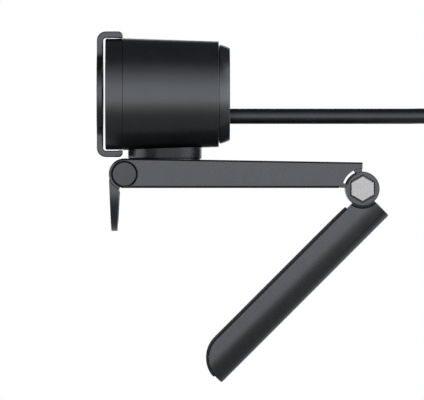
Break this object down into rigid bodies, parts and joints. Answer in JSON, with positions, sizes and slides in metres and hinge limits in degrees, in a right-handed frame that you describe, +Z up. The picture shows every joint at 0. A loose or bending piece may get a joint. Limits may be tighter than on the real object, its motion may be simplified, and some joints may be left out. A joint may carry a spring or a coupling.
{
  "type": "webcam on a monitor clip",
  "caption": "Small barrel webcam with a slide-off privacy cover, swivelling on a monitor clip with a folding front lip and a folding rear leg, on a USB lead.",
  "frame": {"origin": "underside of the clip arm's rubber pad, straight below the head's swivel axis, where the arm rests on a monitor's top edge", "axes": "+Z up, the camera looks along -Y, X runs across the clip along both hinge axes"},
  "size_m": [0.0288, 0.1542, 0.124],
  "materials": {
    "black_plastic": "fine-grained matt moulded plastic",
    "satin_plastic": "smooth satin plastic",
    "pad_rubber": "matt soft rubber",
    "bolt_steel": "satin plated steel",
    "dark_steel": "blackened metal",
    "insert_brass": "turned brass",
    "clear_glass": "coated clear glass",
    "board_green": "solder-masked circuit board",
    "chip_black": "moulded black resin",
    "socket_cream": "cream nylon",
    "light_lens": "clear diffusing plastic",
    "cable_jacket": "smooth satin jacket",
    "plug_plastic": "matt overmould",
    "tie_fabric": "woven hook-and-loop strap",
    "plug_steel": "nickel-plated sheet steel"
  },
  "bodies": {
    "clip": {"clip_arm": "black_plastic", "arm_pad": "pad_rubber", "tripod_insert": "insert_brass", "swivel_bolt": "bolt_steel", "swivel_nut": "bolt_steel", "swivel_spring_washer": "bolt_steel", "swivel_friction_washer": "pad_rubber", "front_hinge_pin": "black_plastic", "front_hinge_cap": "black_plastic", "hinge_bolt": "bolt_steel", "hinge_nut": "bolt_steel", "hinge_washer_left": "dark_steel", "hinge_washer_right": "dark_steel"},
    "lip": {"front_lip": "black_plastic", "lip_pad": "pad_rubber"},
    "leg": {"rear_leg": "black_plastic", "leg_pad": "pad_rubber"},
    "head": {"swivel_pedestal": "satin_plastic", "main_shell": "black_plastic", "front_ring": "black_plastic", "front_glass": "clear_glass", "rear_cap": "black_plastic", "lens_barrel": "dark_steel", "lens_front_element": "clear_glass", "lens_rear_element": "clear_glass", "lens_holder": "chip_black", "infrared_filter": "clear_glass", "image_sensor": "chip_black", "sensor_board": "board_green", "main_board": "board_green", "board_connector": "chip_black", "image_processor": "chip_black", "cable_socket": "socket_cream", "microphone_board": "board_green", "microphone_left": "bolt_steel", "microphone_right": "bolt_steel", "status_light": "light_lens", "cable_grommet": "pad_rubber", "pedestal_screw_front": "bolt_steel", "pedestal_screw_rear": "bolt_steel", "sensor_board_screw_left": "bolt_steel", "sensor_board_screw_right": "bolt_steel", "main_board_screw_left": "bolt_steel", "main_board_screw_right": "bolt_steel", "usb_cable": "cable_jacket", "cable_hank": "cable_jacket", "cable_tie": "tie_fabric", "usb_plug_body": "plug_plastic", "usb_plug_shell": "plug_steel"},
    "cover": {"privacy_cover": "black_plastic"}
  },
  "joints": [
    {"name": "head_swivel", "type": "hinge", "parent": "clip", "child": "head", "pos_m": [0, 0, 0.0074], "axis": [0, 0, 1], "range_deg": [-180, 180]},
    {"name": "lip_hinge", "type": "hinge", "parent": "clip", "child": "lip", "pos_m": [0, -0.01005, 0.00345], "axis": [1, 0, 0], "range_deg": [-90, 0]},
    {"name": "leg_hinge", "type": "hinge", "parent": "clip", "child": "leg", "pos_m": [0, 0.04925, -0.0002], "axis": [1, 0, 0], "range_deg": [-45, 90]},
    {"name": "cover_slide", "type": "slide", "parent": "head", "child": "cover", "axis": [0, -1, 0], "range_m": [0, 0.01]}
  ]
}
